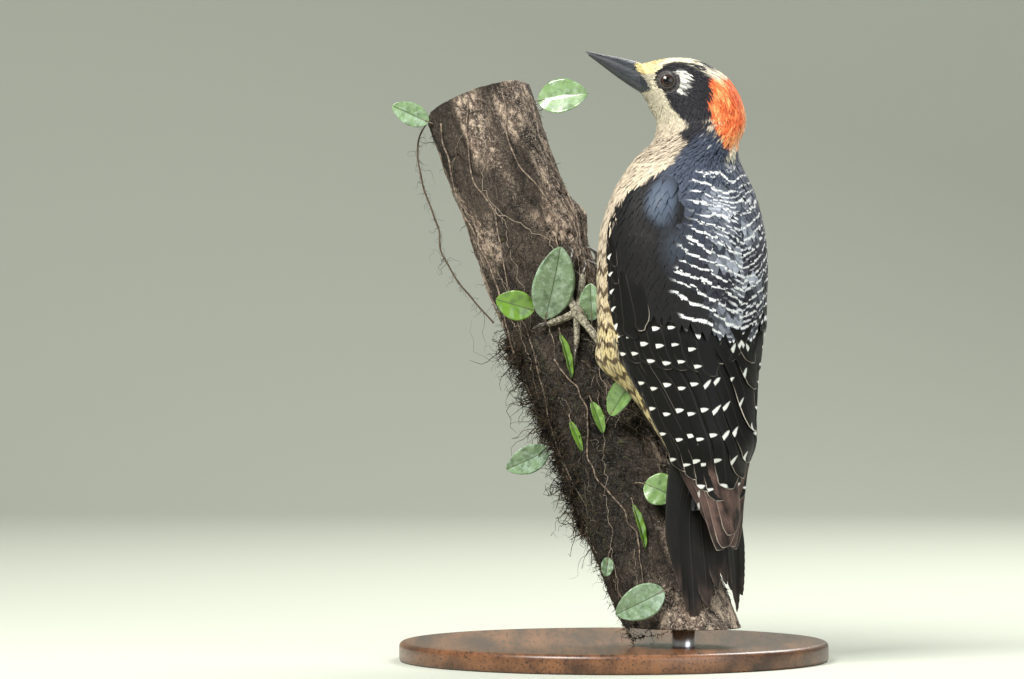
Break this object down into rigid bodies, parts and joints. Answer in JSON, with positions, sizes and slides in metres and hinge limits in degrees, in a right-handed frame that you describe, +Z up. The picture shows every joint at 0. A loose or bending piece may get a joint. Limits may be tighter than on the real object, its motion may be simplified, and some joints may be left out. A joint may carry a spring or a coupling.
{
  "type": "woodpecker model",
  "caption": "Life-size museum model of a female black-cheeked woodpecker clinging to a cut length of leaning branch, head turned and bill raised, on a plain round display stand.",
  "frame": {"origin": "centre of the stand's round base, on its underside", "axes": "+Z up; +Y away from the viewer of the bird's left side and back; +X to that viewer's right; the bill points towards -X"},
  "size_m": [0.132, 0.132, 0.1872],
  "materials": {
    "black_feather": "glossy blue-black plumage",
    "barred_feather": "black plumage with narrow white bars",
    "cream_feather": "soft buff to yellow plumage",
    "bill": "slate-black horn, satin",
    "eye": "wet, dark brown",
    "leg_skin": "scaled grey-olive skin",
    "claw": "dark horn, satin",
    "bark": "rough brown bark with pale crusts",
    "moss": "dark matted rootlets and stems",
    "leaf": "waxy creeping leaves",
    "base_wood": "dark wood, satin",
    "rod_steel": "brushed"
  },
  "bodies": {
    "root": {"trunk": "barred_feather", "neck": "cream_feather", "head": "black_feather", "eye_left": "eye", "eye_right": "eye", "bill_upper": "bill", "bill_lower": "bill", "wing_left": "black_feather", "wing_right": "black_feather", "tail": "black_feather", "thigh_left": "cream_feather", "thigh_right": "cream_feather", "tarsus_left": "leg_skin", "tarsus_right": "leg_skin", "perch": "bark", "stand_base": "base_wood", "stand_rod": "rod_steel", "toe1_left": "leg_skin", "claw1_left": "claw", "toe2_left": "leg_skin", "claw2_left": "claw", "toe3_left": "leg_skin", "claw3_left": "claw", "toe4_left": "leg_skin", "claw4_left": "claw", "toe1_right": "leg_skin", "claw1_right": "claw", "toe2_right": "leg_skin", "claw2_right": "claw", "toe3_right": "leg_skin", "claw3_right": "claw", "toe4_right": "leg_skin", "claw4_right": "claw"}
  },
  "joints": []
}
